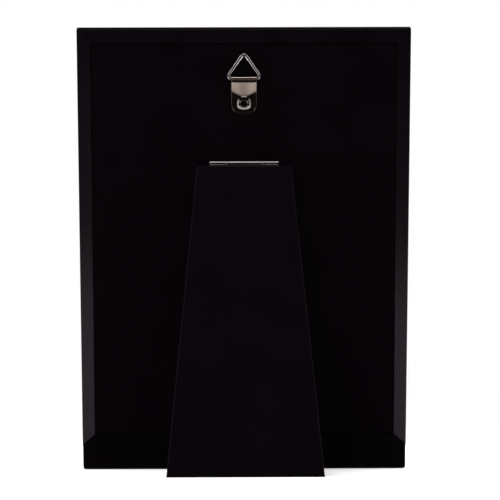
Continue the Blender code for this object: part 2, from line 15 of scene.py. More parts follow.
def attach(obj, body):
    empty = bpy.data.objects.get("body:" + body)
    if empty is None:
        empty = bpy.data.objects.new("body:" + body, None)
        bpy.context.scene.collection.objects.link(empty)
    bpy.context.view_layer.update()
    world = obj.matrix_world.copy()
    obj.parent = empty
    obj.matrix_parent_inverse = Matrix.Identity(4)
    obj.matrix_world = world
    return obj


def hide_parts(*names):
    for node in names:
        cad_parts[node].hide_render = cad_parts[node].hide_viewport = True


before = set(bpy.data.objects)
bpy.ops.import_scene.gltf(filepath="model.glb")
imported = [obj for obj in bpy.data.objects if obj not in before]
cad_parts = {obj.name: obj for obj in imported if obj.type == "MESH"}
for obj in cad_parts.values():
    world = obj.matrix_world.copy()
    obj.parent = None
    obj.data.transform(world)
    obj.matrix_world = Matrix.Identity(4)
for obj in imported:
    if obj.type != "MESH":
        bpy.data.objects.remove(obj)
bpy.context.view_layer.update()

MM = 0.001

# The frame and its back board, as their solids have them
LEAN = math.radians(16.0)
HALF_WIDTH = 82.1 * MM
FRAME_HEIGHT = 227.8 * MM
LIP_DROP = 13.6 * MM
LIP_CORNER = 1.4 * MM
RIM_WIDTH = 6.6 * MM
BORDER = 10.6 * MM
FRAME_DEPTH = 8.5 * MM
OUTER_WALL = 5.9 * MM
FACE_THICKNESS = 3.0 * MM
SIGHT_CHAMFER = 1.2 * MM
MITRE_GAP = 0.2 * MM
FRONT_ARRIS = 0.5 * MM
EDGE_GAP = 0.3 * MM
LAYER_GAP = 0.1 * MM
PANEL_FRONT = 6.1 * MM
PANEL_BACK = 8.1 * MM
FRAME_LIFT = FACE_THICKNESS * math.sin(LEAN)
# How far the whole part is moved to stand over the table's middle
MIDDLE = 47.9619 * MM

# The easel leg and its hinge
LEG_OPENING = math.radians(30.0)
LEG_SLOPE = LEG_OPENING - LEAN
HINGE_HEIGHT = 161.2 * MM
HINGE_DEPTH = 9.4 * MM
PIN_RADIUS = 0.6 * MM
BARREL_RADIUS = 1.2 * MM
HINGE_SHEET = 0.5 * MM
LEAF_LENGTH = 14.0 * MM
PANEL_LEAF_WIDTH = 34.2 * MM
LEG_LEAF_WIDTH = 33.2 * MM
MIDDLE_KNUCKLE = 16.6 * MM
KNUCKLE_GAP = 0.2 * MM
RIVET_DROP = 9.2 * MM
PANEL_RIVET_SPACING = 24.0 * MM
LEG_RIVET_SPACING = 12.0 * MM
LEG_BOARD = 1.8 * MM
LEG_FACING = 0.8 * MM
LEG_TOP_DROP = 2.8 * MM
LEG_TOP_HALF = 23.6 * MM
LEG_SHOULDER_DROP = 13.0 * MM
LEG_SHOULDER_HALF = 24.15 * MM
LEG_FOOT_HALF = 38.0 * MM
PIN_ABOVE_TABLE = HINGE_HEIGHT * math.cos(LEAN) - HINGE_DEPTH * math.sin(LEAN) + FRAME_LIFT

# The hanger
RING_AXIS_HEIGHT = 203.6 * MM
LOOP_STANDOFF = 1.5 * MM
WIRE_RADIUS = 0.8 * MM
RING_WIDTH = 16.6 * MM
RING_RISE = 12.9 * MM
STRAP_HALF = 6.2 * MM
STRAP_CORNER = 5.5 * MM
STRAP_DROP = 18.0 * MM
STRAP_SHEET = 0.5 * MM
EYELET_DROP = 12.3 * MM
EYELET_BORE = 2.4 * MM

# Eased edges, and what counts as one point or as an edge
RAIL_EASE = 0.3 * MM
BOARD_EASE = 0.25 * MM
LEG_BOARD_EASE = 0.2 * MM
STRAP_EASE = 0.18 * MM
LEAF_EASE = 0.07 * MM
MERGE = 0.002 * MM
SLIVER = 0.001 * MM
EASED_ANGLE = math.radians(34.0)
SHARP_ANGLE = math.radians(38.0)

# The studio
FLOOR_LIFT = 0.22
WORLD_FILL = 0.55
SOFT_BOX_LIGHT = 2.4
STUDIO_REACH = 2.6
LAMP_TARGET = (0.0, 0.0, 0.1)
# Each lamp's name, place, width and height in metres, and power in watts
LAMPS = (
    ("key_soft_box", (0.35, 1.15, 1.55), 0.9, 0.7, 22.0),
    ("left_soft_box", (1.5, 0.3, 1.1), 0.6, 0.9, 10.0),
    ("right_soft_box", (-1.5, 0.2, 1.1), 0.6, 0.9, 8.0),
    ("front_soft_box", (-0.3, -1.4, 1.3), 0.9, 0.7, 12.0))


def lean(points):
    """Upright frame axes to the world: a turn about x by the lean, then a shift onto the table's middle."""
    x, y, z = np.moveaxis(np.asarray(points, float), -1, 0)
    c, s = math.cos(LEAN), math.sin(LEAN)
    return np.stack([x, y * c + z * s - MIDDLE, z * c - y * s + FRAME_LIFT], axis=-1)


def from_pin(points, turn=0.0):
    """Points from the hinge pin's axis, turned about it, to the world."""
    x, y, z = np.moveaxis(np.asarray(points, float), -1, 0)
    c, s = math.cos(turn), math.sin(turn)
    return lean(np.stack([x, y * c - z * s + HINGE_DEPTH, y * s + z * c + HINGE_HEIGHT], axis=-1))


def on_leg(points):
    """Points on the leg, drawn hanging straight down from the pin, to the world."""
    return from_pin(points, LEG_OPENING)


def on_panel(points):
    """Points as (x, out of the panel's back, up from the ring's axis) to the world."""
    x, y, z = np.moveaxis(np.asarray(points, float), -1, 0)
    return lean(np.stack([x, y + PANEL_BACK, z + RING_AXIS_HEIGHT], axis=-1))


# Surfaces

def grid_quads(rows, columns, wrap_rows=False, wrap_columns=False):
    """Quads between neighbours on a grid whose point (i, j) has the number i * columns + j."""
    i = np.arange(rows if wrap_rows else rows - 1)[:, None]
    j = np.arange(columns if wrap_columns else columns - 1)[None, :]
    up = (i + 1) % rows
    over = (j + 1) % columns
    quads = np.stack([i * columns + j, up * columns + j, up * columns + over, i * columns + over], axis=-1)
    return quads.reshape(-1, 4)


def rim_edges(quads):
    """The directed edges that only one quad has."""
    edges = np.concatenate([quads[:, [k, (k + 1) % 4]] for k in range(4)])
    key = np.sort(edges, axis=1)
    _, first, count = np.unique(key, axis=0, return_index=True, return_counts=True)
    return edges[first[count == 1]]


def thick_patch(front, back, quads):
    """A closed slab: one patch of quads on two sets of points, and a wall round every edge of the patch."""
    n = len(front)
    rim = rim_edges(quads)
    walls = np.stack([rim[:, 1], rim[:, 0], rim[:, 0] + n, rim[:, 1] + n], axis=-1)
    return np.concatenate([front, back]), [quads, quads[:, ::-1] + n, walls]


def prism(first, last):
    """A closed solid between two outlines with equal counts: side quads and one flat cap at each end."""
    n = len(first)
    cap = np.arange(n)[None, :]
    return np.concatenate([first, last]), [grid_quads(2, n, False, True), cap, cap[:, ::-1] + n]


def revolve(profile, steps, closed):
    """A (radius, y) profile carried round the y axis: x = r cos a, z = r sin a."""
    profile = np.asarray(profile, float)
    angle = np.arange(steps) * 2 * math.pi / steps
    radius, along = profile[:, :1], profile[:, 1:]
    points = np.stack([radius * np.cos(angle), along + 0 * angle, radius * np.sin(angle)], axis=-1)
    return points.reshape(-1, 3), [grid_quads(len(profile), steps, closed, True)]


def wire(path, radius, steps=24, end_steps=6):
    """A circle carried along a flat (x, z) path, in the plane of the path's normal and y, with domed ends:
    across = r cos a along the normal, y = r sin a, and at each end r shrinks as the point moves on."""
    tangent = np.gradient(path, axis=0)
    tangent /= np.linalg.norm(tangent, axis=1)[:, None]
    last = len(path) - 1
    bulge = np.linspace(0, math.pi / 2, end_steps, endpoint=False)[::-1]
    swell = np.concatenate([np.cos(bulge), np.ones(last - 1), np.cos(bulge[::-1])])
    shift = np.concatenate([-np.sin(bulge), np.zeros(last - 1), np.sin(bulge[::-1])])
    spot = np.concatenate([np.zeros(end_steps, int), np.arange(1, last), np.full(end_steps, last)])
    center = path[spot] + tangent[spot] * (shift * radius)[:, None]
    normal = np.stack([-tangent[spot, 1], tangent[spot, 0]], axis=-1)
    angle = np.arange(steps) * 2 * math.pi / steps
    girth = (swell * radius)[:, None]
    across = np.cos(angle)[None, :, None] * normal[:, None, :] * girth[..., None] + center[:, None, :]
    depth = np.sin(angle)[None, :] * girth
    points = np.stack([across[..., 0], depth, across[..., 1]], axis=-1)
    rows = len(spot)
    first_cap = np.arange(steps)[None, :]
    last_cap = first_cap[:, ::-1] + (rows - 1) * steps
    return points.reshape(-1, 3), [grid_quads(rows, steps, False, True), first_cap, last_cap]


def arc(radius, start, end, steps, center=(0.0, 0.0)):
    """Points along a circle's arc, both ends included: the centre plus r (cos a, sin a)."""
    angle = np.linspace(start, end, steps + 1)
    return np.stack([center[0] + radius * np.cos(angle), center[1] + radius * np.sin(angle)], axis=-1)


def around_hole(outline, center, radius, rings):
    """Rings that go in straight lines from a round hole to an outline: p = hole (1 - f) + outline f."""
    center = np.asarray(center)
    ray = outline - center
    hole = center + ray * (radius / np.linalg.norm(ray, axis=1))[:, None]
    share = np.linspace(0, 1, rings)[:, None, None]
    points = hole * (1 - share) + outline * share
    return points.reshape(-1, 2), grid_quads(rings, len(outline), False, True)


# Materials

def linear(hex_color):
    """An sRGB hex colour as linear red, green, blue, alpha."""
    parts = [int(hex_color[k:k + 2], 16) / 255 for k in (1, 3, 5)]
    return [c / 12.92 if c <= 0.04045 else ((c + 0.055) / 1.055) ** 2.4 for c in parts] + [1.0]


def add_node(tree, kind, values=None, links=None, **settings):
    """Adds one node with its settings, its socket values and its incoming links."""
    node = tree.nodes.new(kind)
    for name, value in settings.items():
        setattr(node, name, value)
    for socket, value in (values or {}).items():
        node.inputs[socket].default_value = value
    for socket, source in (links or {}).items():
        tree.links.new(source, node.inputs[socket])
    return node


def new_material(name, values):
    """A material with one Principled shader whose uniform values are set on its own sockets."""
    material = bpy.data.materials.new(name)
    material.use_nodes = True
    tree = material.node_tree
    shader = tree.nodes["Principled BSDF"]
    for socket, value in values.items():
        shader.inputs[socket].default_value = value
    return material, tree, shader


def object_noise(tree, grain, stretch=(1.0, 1.0, 1.0), detail=3.0, roughness=0.5):
    """Noise whose grain is a real size in metres, turned with the frame's lean, and drawn out along an axis
    where its stretch is below one."""
    place = add_node(tree, "ShaderNodeTexCoord")
    mapping = add_node(tree, "ShaderNodeMapping", {"Scale": stretch, "Rotation": (LEAN, 0.0, 0.0)},
                       {"Vector": place.outputs["Object"]})
    noise = add_node(tree, "ShaderNodeTexNoise",
                     {"Scale": 1.0 / grain, "Detail": detail, "Roughness": roughness},
                     {"Vector": mapping.outputs["Vector"]})
    return noise.outputs["Fac"]


def finish_surface(tree, shader, tone, colors, grain, roughness, relief, strength, painted_highlight_color=None):
    """Colour from one noise, and roughness and a relief of a real depth from another, each spread over the
    middle of its noise's range. An optional paler colour is painted in along the piece's edges, as much as
    its edge attribute says there: a painted highlight."""
    color_shares, grain_shares, highlight_share = (0.35, 0.65), (0.3, 0.7), 0.3
    ramp = add_node(tree, "ShaderNodeValToRGB", None, {"Fac": tone})
    for element, share, color in zip(ramp.color_ramp.elements, color_shares, colors):
        element.position = share
        element.color = linear(color)
    base = ramp.outputs["Color"]
    # Painted highlight: the colour is mixed towards a paler one where the point attribute marks an edge.
    if painted_highlight_color:
        painted_edge_highlight = add_node(tree, "ShaderNodeAttribute", attribute_name="painted_edge_highlight")
        highlight_amount = add_node(tree, "ShaderNodeMapRange", {"From Min": highlight_share}, {"Value": painted_edge_highlight.outputs["Fac"]})
        mixed = add_node(tree, "ShaderNodeMix", {7: linear(painted_highlight_color)}, {0: highlight_amount.outputs["Result"], 6: base},
                         data_type="RGBA")
        base = mixed.outputs[2]
    gloss = add_node(tree, "ShaderNodeMapRange",
                     {"From Min": grain_shares[0], "From Max": grain_shares[1],
                      "To Min": roughness[0], "To Max": roughness[1]}, {"Value": grain})
    height = add_node(tree, "ShaderNodeBump", {"Strength": strength, "Distance": relief}, {"Height": grain})
    tree.links.new(base, shader.inputs["Base Color"])
    tree.links.new(gloss.outputs["Result"], shader.inputs["Roughness"])
    tree.links.new(height.outputs["Normal"], shader.inputs["Normal"])


def foil_wrapped_moulding():
    """Fibreboard moulding wrapped in black paper foil: satin, faintly pebbled where the foil took the board's
    grain, with the purple cast that black dye gives its shine. The pebble is drawn coarse enough to show."""
    material, tree, shader = new_material("foil_wrapped_moulding", {
        "Specular IOR Level": 0.46, "Specular Tint": linear("#ffecff")})
    patches = object_noise(tree, 14 * MM, detail=2.0)
    pebble = object_noise(tree, 0.9 * MM, detail=4.0, roughness=0.6)
    finish_surface(tree, shader, patches, ("#060306", "#080408"), pebble,
                   roughness=(0.18, 0.26), relief=0.02 * MM, strength=0.5)
    return material


def black_backing_paper():
    """Black backing paper glued on board: a flat, fibrous black that hardly shines, painted paler along the
    edges of the leg's layers as a painted highlight. Its fibres are drawn coarse enough to show."""
    material, tree, shader = new_material("black_backing_paper", {"Specular IOR Level": 0.06})
    cloud = object_noise(tree, 22 * MM)
    fibre = object_noise(tree, 0.8 * MM, (0.35, 1.0, 1.0), detail=5.0, roughness=0.65)
    # The last colour is a painted highlight along the edges, not a colour the paper has.
    finish_surface(tree, shader, cloud, ("#060106", "#070207"), fibre,
                   roughness=(0.50, 0.68), relief=0.025 * MM, strength=0.6, painted_highlight_color="#1d181d")
    return material


def nickel_plate(name, grain, colors, roughness, stretch=(1.0, 1.0, 1.0)):
    """Nickel-plated steel: a warm bright metal, faintly drawn out in the direction that it was rolled or
    turned. Its grain is drawn far coarser than the real one, so that it shows."""
    material, tree, shader = new_material(name, {"Metallic": 1.0})
    cloud = object_noise(tree, 4 * MM, detail=2.0)
    streaks = object_noise(tree, grain, stretch, detail=4.0, roughness=0.6)
    finish_surface(tree, shader, cloud, colors, streaks, roughness, relief=0.004 * MM, strength=0.5)
    return material


def clear_float_glass():
    """Clear float glass: shows what lies behind it, with a sharp reflection and a faint green body."""
    material, tree, shader = new_material("clear_float_glass", {
        "Base Color": linear("#fcfdfc"), "Roughness": 0.01, "IOR": 1.52, "Transmission Weight": 1.0})
    path = add_node(tree, "ShaderNodeLightPath")
    clear = add_node(tree, "ShaderNodeBsdfTransparent", {"Color": linear("#fafbfa")})
    mix = add_node(tree, "ShaderNodeMixShader", None, {
        0: path.outputs["Is Shadow Ray"], 1: shader.outputs["BSDF"], 2: clear.outputs["BSDF"]})
    tree.links.new(mix.outputs["Shader"], tree.nodes["Material Output"].inputs["Surface"])
    return material


def satin_print_paper():
    """Blank photographic paper: warm white, satin, with a faint coating mottle."""
    material, tree, shader = new_material("satin_print_paper", {"Specular IOR Level": 0.4})
    mottle = object_noise(tree, 1.5 * MM, detail=4.0)
    finish_surface(tree, shader, mottle, ("#e6e3dc", "#eceae4"), mottle,
                   roughness=(0.36, 0.48), relief=0.006 * MM, strength=0.4)
    return material


def pressed_black_card():
    """Black core card: pressed from dyed pulp, with faint paler flecks, quite matt."""
    material, tree, shader = new_material("pressed_black_card", {"Specular IOR Level": 0.2})
    fleck = object_noise(tree, 0.7 * MM, (1.0, 1.0, 0.4), detail=5.0, roughness=0.7)
    finish_surface(tree, shader, fleck, ("#141112", "#1e1a1a"), fleck,
                   roughness=(0.80, 0.95), relief=0.03 * MM, strength=0.7)
    return material


FOIL = foil_wrapped_moulding()
PAPER = black_backing_paper()
STRIP = nickel_plate("rolled_nickel_strip", 0.5 * MM, ("#c6b0a3", "#cfbbae"), (0.06, 0.10), (0.12, 1.0, 1.0))
BARREL = nickel_plate("nickel_hinge_sheet", 0.6 * MM, ("#d8d3ce", "#e2ddd8"), (0.05, 0.09), (0.15, 1.0, 1.0))
WIRE = nickel_plate("drawn_nickel_wire", 0.4 * MM, ("#e6dcda", "#efe6e4"), (0.03, 0.05))
TURNED = nickel_plate("pressed_nickel_eyelet", 0.4 * MM, ("#e0dbd8", "#eae5e2"), (0.04, 0.07))
DRAWN = nickel_plate("drawn_bare_steel", 0.4 * MM, ("#a8a8aa", "#bcbcbe"), (0.28, 0.42), (1.0, 1.0, 0.2))
GLASS = clear_float_glass()
PRINT = satin_print_paper()
CARD = pressed_black_card()


def add_piece(name, surface, material, body, nodes,
              solidify=0.0, bevel=0.0, bevel_steps=3, painted_edge_highlight=None):
    """Puts a surface into a mesh, doubles merged and faces out, and names the solids that it replaces."""
    points, groups = surface
    mesh = bpy.data.meshes.new(name)
    mesh.from_pydata(points.tolist(), [], [face for group in groups for face in np.asarray(group).tolist()])
    # Per-point share of the painted edge highlight, kept as a point attribute for the material.
    if painted_edge_highlight is not None:
        mesh.attributes.new("painted_edge_highlight", "FLOAT", "POINT").data.foreach_set("value", painted_edge_highlight)
    bm = bmesh.new()
    bm.from_mesh(mesh)
    bmesh.ops.remove_doubles(bm, verts=bm.verts, dist=MERGE)
    bmesh.ops.dissolve_degenerate(bm, edges=bm.edges, dist=SLIVER)
    bmesh.ops.recalc_face_normals(bm, faces=bm.faces)
    bm.to_mesh(mesh)
    bm.free()
    mesh.shade_smooth()
    mesh.materials.append(material)
    piece = bpy.data.objects.new(name, mesh)
    bpy.context.scene.collection.objects.link(piece)
    if solidify:
        wall = piece.modifiers.new("wall", "SOLIDIFY")
        wall.thickness = solidify
        wall.offset = 0.0
        wall.use_even_offset = True
    if bevel:
        edge = piece.modifiers.new("eased_edges", "BEVEL")
        edge.width = bevel
        edge.segments = bevel_steps
        edge.limit_method = "ANGLE"
        edge.angle_limit = EASED_ANGLE
        edge.harden_normals = True
    else:
        mesh.set_sharp_from_angle(angle=SHARP_ANGLE)
    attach(piece, body)
    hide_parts(*nodes)


# Mouldings

def moulding_profile():
    """The moulding's section as (inward from the outer edge, depth from the front face)."""
    return np.array([
        (0.0, FRONT_ARRIS), (FRONT_ARRIS, 0.0), (BORDER - SIGHT_CHAMFER, 0.0), (BORDER, SIGHT_CHAMFER),
        (BORDER, FACE_THICKNESS), (RIM_WIDTH, FACE_THICKNESS), (RIM_WIDTH, FRAME_DEPTH), (0.0, OUTER_WALL)])


def add_rail(name, surface):
    """One length of the wrapped moulding, its edges eased by the wrap."""
    add_piece("moulding_" + name, surface, FOIL, "frame", [name], bevel=RAIL_EASE)


def add_rails():
    """The side and top mouldings: the section carried straight from mitre to mitre, where each of its points
    ends as far in as it lies from the outer edge."""
    inward, depth = moulding_profile().T
    for side, name in ((-1, "left_rail"), (1, "right_rail")):
        x = side * (HALF_WIDTH - inward)
        low = np.stack([x, depth, LIP_DROP + inward + MITRE_GAP], axis=-1)
        high = np.stack([x, depth, FRAME_HEIGHT - inward - MITRE_GAP], axis=-1)
        add_rail(name, prism(lean(low), lean(high)))
    ends = [lean(np.stack([side * (HALF_WIDTH - inward), depth, FRAME_HEIGHT - inward], axis=-1))
            for side in (-1, 1)]
    add_rail("top_rail", prism(*ends))


def add_bottom_rail():
    """The bottom moulding: the section with a thin lip below it, carried along x. The lip's low edge follows
    an arc at each end, while the rim's points all stop at the mitre."""
    rim = np.concatenate([[[0.0, 0.0]], moulding_profile()[2:], [[0.0, FACE_THICKNESS]]])
    inward, depth = rim.T
    corner = arc(LIP_CORNER, -math.pi / 2, 0.0, 8, (HALF_WIDTH - LIP_CORNER, LIP_CORNER))
    half = []
    for x, z in corner:
        lip = np.array([[x, FACE_THICKNESS, z], [x, FRONT_ARRIS, z], [x, 0.0, max(z, FRONT_ARRIS)]])
        half.append(np.concatenate([np.stack([HALF_WIDTH - inward, depth, LIP_DROP + inward], axis=-1), lip]))
    rings = np.array([ring * [-1, 1, 1] for ring in half[::-1]] + half)
    rows, columns = rings.shape[:2]
    mitre = np.arange(len(rim))[None, :]
    lip_end = np.array([[0, *range(len(rim) - 1, columns)]])
    last = (rows - 1) * columns
    faces = [grid_quads(rows, columns, False, True), mitre, lip_end,
             mitre[:, ::-1] + last, lip_end[:, ::-1] + last]
    add_rail("bottom_rail", (lean(rings.reshape(-1, 3)), faces))


# Boards

def add_back_board():
    """The back board: rings in straight lines from the eyelet's hole out to a rectangle, on both faces."""
    side_steps, rings = 24, 8
    half = HALF_WIDTH - RIM_WIDTH - EDGE_GAP
    low = LIP_DROP + RIM_WIDTH + EDGE_GAP
    high = FRAME_HEIGHT - RIM_WIDTH - EDGE_GAP
    across = np.linspace(-half, half, side_steps + 1)[:-1]
    up = np.linspace(low, high, side_steps + 1)[:-1]
    outline = np.concatenate([
        np.stack([across, 0 * across + low], axis=-1), np.stack([0 * up + half, up], axis=-1),
        np.stack([-across, 0 * across + high], axis=-1), np.stack([0 * up - half, low + high - up], axis=-1)])
    flat, quads = around_hole(outline, (0.0, RING_AXIS_HEIGHT - EYELET_DROP), EYELET_BORE, rings)
    back, front = (lean(np.stack([flat[:, 0], 0 * flat[:, 0] + depth, flat[:, 1]], axis=-1))
                   for depth in (PANEL_BACK, PANEL_FRONT))
    add_piece("paper_covered_back", thick_patch(back, front, quads), PAPER, "back",
              ["back_panel"], bevel=BOARD_EASE)


def leg_plate(start, end, curl):
    """A leg layer between two planes: x = u times the half width at that height, the foot cut level with the
    table, and one top corner raised by curl times exp(-(distance / reach) squared). Also says how much
    painted
    edge highlight each point gets: all of it along the layer's edges, and none inside them."""
    edge, curl_reach, edge_share = 0.4 * MM, 2.2 * MM, 0.015
    columns, upper_rows, lower_rows = 25, 9, 41
    u = np.concatenate([[-1.0], np.linspace(edge_share - 1, 1 - edge_share, columns), [1.0]])[None, :]
    faces = []
    for out in (end, start):
        foot = (PIN_ABOVE_TABLE + out * math.sin(LEG_SLOPE)) / math.cos(LEG_SLOPE)
        upper = np.linspace(LEG_TOP_DROP + edge, LEG_SHOULDER_DROP, upper_rows)
        lower = np.linspace(LEG_SHOULDER_DROP, foot - edge, lower_rows)[1:]
        drop = np.concatenate([[LEG_TOP_DROP], upper, lower, [foot]])[:, None]
        half = np.interp(drop, [LEG_TOP_DROP, LEG_SHOULDER_DROP, foot],
                         [LEG_TOP_HALF, LEG_SHOULDER_HALF, LEG_FOOT_HALF])
        x = u * half
        from_corner = np.hypot(x + LEG_TOP_HALF, drop - LEG_TOP_DROP)
        y = out + curl * np.exp(-(from_corner / curl_reach) ** 2)
        faces.append(np.stack([x, y, 0 * x - drop], axis=-1).reshape(-1, 3))
    # Painted highlight: full along the layer's edges, nothing inside.
    painted_edge_highlight = np.zeros((len(drop), u.size))
    painted_edge_highlight[[0, -1], :] = 1.0
    painted_edge_highlight[:, [0, -1]] = 1.0
    plate = thick_patch(on_leg(faces[0]), on_leg(faces[1]), grid_quads(len(drop), u.size))
    return plate, np.tile(painted_edge_highlight.ravel(), 2)


def add_leg():
    """The easel leg: a stiff board, and a thinner covered facing whose corner has lifted a little."""
    lifted = 0.25 * MM
    board_start = BARREL_RADIUS + LAYER_GAP
    facing_start = board_start + LEG_BOARD + LAYER_GAP
    for name, start, thickness, curl, eased in (
            ("leg_board", board_start, LEG_BOARD, 0.0, LEG_BOARD_EASE),
            ("leg_facing", facing_start, LEG_FACING, lifted, BOARD_EASE)):
        # Each layer's edges get the painted highlight.
        plate, painted_edge_highlight = leg_plate(start, start + thickness, curl)
        add_piece("covered_" + name, plate, PAPER, "leg", [name], bevel=eased, painted_edge_highlight=painted_edge_highlight)


# Hinge

def sheet_leaf(side, sweep, width, middle, cut_height, cut_middle, place):
    """A leaf's middle surface: a side view, which is a straight plate and then an arc round the pin, carried
    straight across, with the knuckle gaps left out above the cut."""
    roll_steps, end_columns, middle_columns = 28, 5, 7
    radius = BARREL_RADIUS - HINGE_SHEET / 2
    start = math.pi if side < 0 else 0.0
    roll = arc(radius, start, start + side * sweep, roll_steps)
    plate = np.array([[side * radius, z] for z in (-LEAF_LENGTH, -LEAF_LENGTH / 2, cut_height)])
    line = np.concatenate([plate, roll])
    across = np.concatenate([
        np.linspace(-width, -middle, end_columns), np.linspace(-middle, middle, middle_columns)[1:-1],
        np.linspace(middle, width, end_columns)]) / 2
    x, y = np.meshgrid(across, line[:, 0])
    z = np.broadcast_to(line[:, 1:], x.shape)
    quads = grid_quads(len(line), len(across))
    row, column = np.divmod(quads[:, 0], len(across))
    inside = np.abs(across[column] + across[column + 1]) / 2 < middle / 2
    notched = inside if cut_middle else ~inside
    kept = quads[~(notched & (row >= len(plate) - 1))]
    return place(np.stack([x, y, z], axis=-1).reshape(-1, 3)), [kept]


def add_leaf(name, body, leaf):
    """A leaf given its sheet's thickness, its cut edges eased."""
    add_piece("rolled_" + name, leaf, BARREL, body, ["hinge_" + name],
              solidify=HINGE_SHEET, bevel=LEAF_EASE, bevel_steps=2)


def add_pin():
    """The hinge pin: a straight wire with slightly domed ends, turned about y and then laid across."""
    dome = 0.2 * MM
    angle = np.linspace(0, math.pi / 2, 7)
    end = np.stack([PIN_RADIUS * np.sin(angle), dome * np.cos(angle)], axis=-1)
    half = PANEL_LEAF_WIDTH / 2 - dome
    profile = np.concatenate([end + [0.0, half], (end * [1, -1] - [0.0, half])[::-1]])
    points, faces = revolve(profile, 32, False)
    add_piece("drawn_hinge_pin", (from_pin(points[:, [1, 0, 2]]), faces), DRAWN, "back",
              ["hinge_pin"])


def add_rivets(place, spacing, face, outward, sink, body, name):
    """A pair of rivets: a low domed head, a shank and a spread tail, turned about y."""
    head, spread, shank, dome = 2.0 * MM, 1.75 * MM, 1.0 * MM, 0.5 * MM
    angle = np.linspace(math.pi / 2, 0, 9)
    top = np.stack([head * np.cos(angle), face + outward * dome * np.sin(angle)], axis=-1)
    far = sink - outward * dome
    tail = np.array([(shank, face), (shank, sink), (spread, sink), (spread, far), (0.0, far)])
    points, faces = revolve(np.concatenate([top, tail]), 40, False)
    for end, side_name in ((-1, "left"), (1, "right")):
        moved = place(points + [end * spacing / 2, 0.0, -RIVET_DROP])
        add_piece("domed_" + name + "_" + side_name, (moved, faces), BARREL, body,
                  [name + "_" + side_name])


def add_hinge():
    """The rolled sheet hinge: two leaves on one pin, with their rivets."""
    panel_sweep, leg_sweep = math.radians(198.8), math.radians(225.0)
    panel_cut, leg_cut = -1.4 * MM, -0.95 * MM
    head_seat, panel_sink, leg_sink = 0.6 * MM, 2.6 * MM, 2.4 * MM
    add_leaf("panel_leaf", "back", sheet_leaf(
        -1, panel_sweep, PANEL_LEAF_WIDTH, MIDDLE_KNUCKLE + 2 * KNUCKLE_GAP, panel_cut, True, from_pin))
    add_leaf("leg_leaf", "leg", sheet_leaf(
        1, leg_sweep, LEG_LEAF_WIDTH, MIDDLE_KNUCKLE, leg_cut, False, on_leg))
    add_pin()
    add_rivets(from_pin, PANEL_RIVET_SPACING, -head_seat, 1, -panel_sink, "back", "panel_rivet")
    add_rivets(on_leg, LEG_RIVET_SPACING, head_seat, -1, leg_sink, "leg", "leg_rivet")


# Hanger

def strap_outline(top, columns):
    """The strap's outline from its top edge down round its lower corners, in x and z from the ring's axis."""
    side_steps, corner_steps = 12, 14
    inner, turn = STRAP_HALF - STRAP_CORNER, STRAP_CORNER - STRAP_DROP
    across = np.linspace(-STRAP_HALF, STRAP_HALF, columns)
    edge = np.stack([across, 0 * across + top], axis=-1)
    drop = np.linspace(top, turn, side_steps)[1:-1]
    right = np.stack([0 * drop + STRAP_HALF, drop], axis=-1)
    low_right = arc(STRAP_CORNER, 0.0, -math.pi / 2, corner_steps, (inner, turn))
    low_left = arc(STRAP_CORNER, -math.pi / 2, -math.pi, corner_steps, (-inner, turn))
    left = right[::-1] * [-1, 1]
    return np.concatenate([edge, right, low_right, low_left, left])


def add_strap():
    """The folded strap: a back layer, a roll round the wire, and a front layer that slopes to the eyelet. Its
    front is crowned: a point lies lower by the crown times the square of its share of the half width."""
    columns, hole_rings, roll_steps = 21, 24, 40
    radius, sweep = 1.15 * MM, math.radians(56.0)
    flat_depth, slope_top, slope_end, slope_rise = 0.95 * MM, -1.50 * MM, -9.2 * MM, 2.6 * MM
    crown, flat_crown = 0.45 * MM, 0.20 * MM
    valley_power, slope_power, soft_share = 1.3, 1.2, 0.07
    tuck_in = np.array([0.32, 0.50, 0.57]) * MM
    tuck_down = np.array([0.16, 0.32]) * MM
    roll = arc(radius, math.pi, -sweep, roll_steps, (LOOP_STANDOFF, 0.0))
    end_out, end_up = roll[-1]
    tuck = np.stack([end_out - tuck_in, np.append(end_up - tuck_down, slope_top)], axis=-1)
    line = np.concatenate([roll, tuck])
    start_depth = line[-1, 0]

    def front_depth(x, z):
        """The front layer's depth: a slope that runs softly into the flat round the eyelet, along a V."""
        aside = np.abs(x) / STRAP_HALF
        end = slope_end + slope_rise * np.minimum(aside, 1) ** valley_power
        share = (z - end) / (slope_top - end)
        eased = np.minimum((share + np.sqrt(share ** 2 + soft_share ** 2)) / 2, 1.0)
        rise = start_depth - flat_depth - (crown - flat_crown) * aside ** 2
        return flat_depth - flat_crown * aside ** 2 + rise * eased ** slope_power

    layers = []
    for top, depth in ((0.0, lambda x, z: 0 * z + LOOP_STANDOFF - radius), (slope_top, front_depth)):
        flat, quads = around_hole(strap_outline(top, columns), (0.0, -EYELET_DROP), EYELET_BORE, hole_rings)
        layers.append((np.stack([flat[:, 0], depth(*flat.T), flat[:, 1]], axis=-1), quads))
    x, y = np.meshgrid(np.linspace(-STRAP_HALF, STRAP_HALF, columns), line[:, 0])
    tucked = np.clip((end_up - line[:, 1:]) / (end_up - slope_top), 0, 1)
    tucked[:len(roll) - 1] = 0.0
    y = y - crown * (x / STRAP_HALF) ** 2 * tucked
    rolled = np.stack([x, y, np.broadcast_to(line[:, 1:], x.shape)], axis=-1).reshape(-1, 3)
    layers.append((rolled, grid_quads(len(line), columns)))
    points, faces, count = [], [], 0
    for layer, quads in layers:
        points.append(layer)
        faces.append(quads + count)
        count += len(layer)
    add_piece("folded_hanger_strap", (on_panel(np.concatenate(points)), faces), STRIP, "back",
              ["hanger_strap"], solidify=STRAP_SHEET, bevel=STRAP_EASE)


